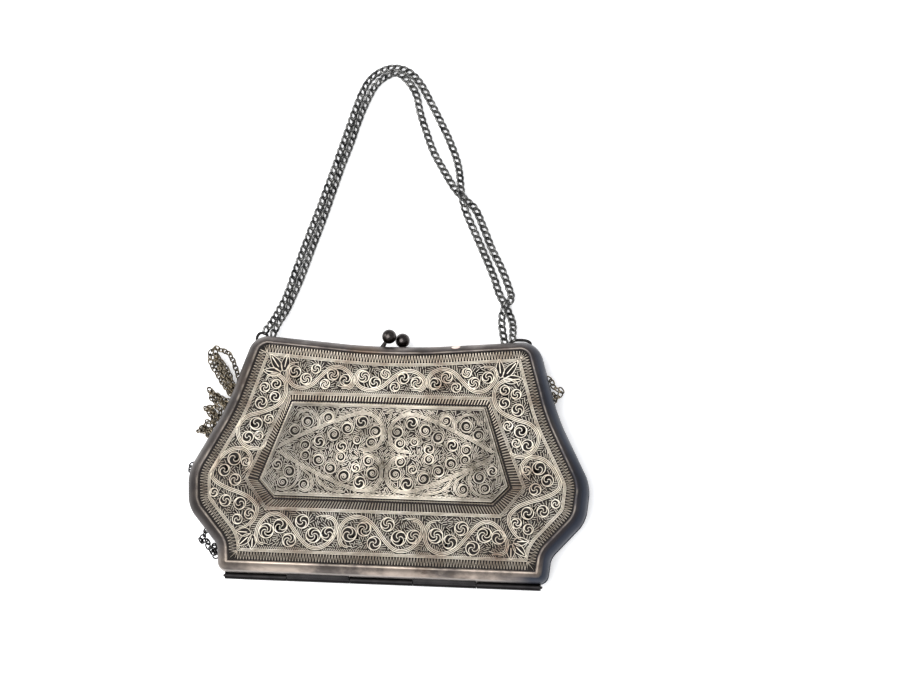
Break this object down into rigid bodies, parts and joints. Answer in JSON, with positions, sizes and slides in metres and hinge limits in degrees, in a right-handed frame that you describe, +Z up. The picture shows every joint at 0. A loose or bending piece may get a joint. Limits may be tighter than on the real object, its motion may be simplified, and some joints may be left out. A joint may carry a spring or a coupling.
{
  "type": "purse",
  "caption": "Flat hinged silver filigree purse with curved sides, raised six-sided plaque, ball clasp, curb chain handle and fine side chains, lying on its back.",
  "frame": {"origin": "centre of the back plaque's flat face, which lies on the table", "axes": "+Z up from the table to the front face, +Y from the hinge to the clasp and handle, +X along the hinge"},
  "size_m": [0.1634, 0.2186, 0.0198],
  "materials": {
    "rim": "tarnished sheet silver",
    "filigree": "oxidised silver filigree wire",
    "plaque": "oxidised silver filigree wire",
    "steel": "dark polished metal",
    "handle_chain": "dark tarnished chain",
    "stay_chain": "tarnished fine chain"
  },
  "bodies": {
    "root": {"front_frame": "rim", "back_frame": "rim", "front_panel": "filigree", "back_panel": "filigree", "front_plaque": "plaque", "back_plaque": "plaque", "hinge_pin": "steel", "front_clasp_ball": "steel", "back_clasp_ball": "steel", "handle_chain_outer": "handle_chain", "handle_chain_inner": "handle_chain", "stay_chain_left_1": "stay_chain", "stay_chain_left_2": "stay_chain", "stay_chain_left_3": "stay_chain", "stay_chain_left_4": "stay_chain", "stay_chain_left_5": "stay_chain", "stay_chain_left_6": "stay_chain", "stay_chain_left_7": "stay_chain", "stay_chain_right_1": "stay_chain"}
  },
  "joints": []
}
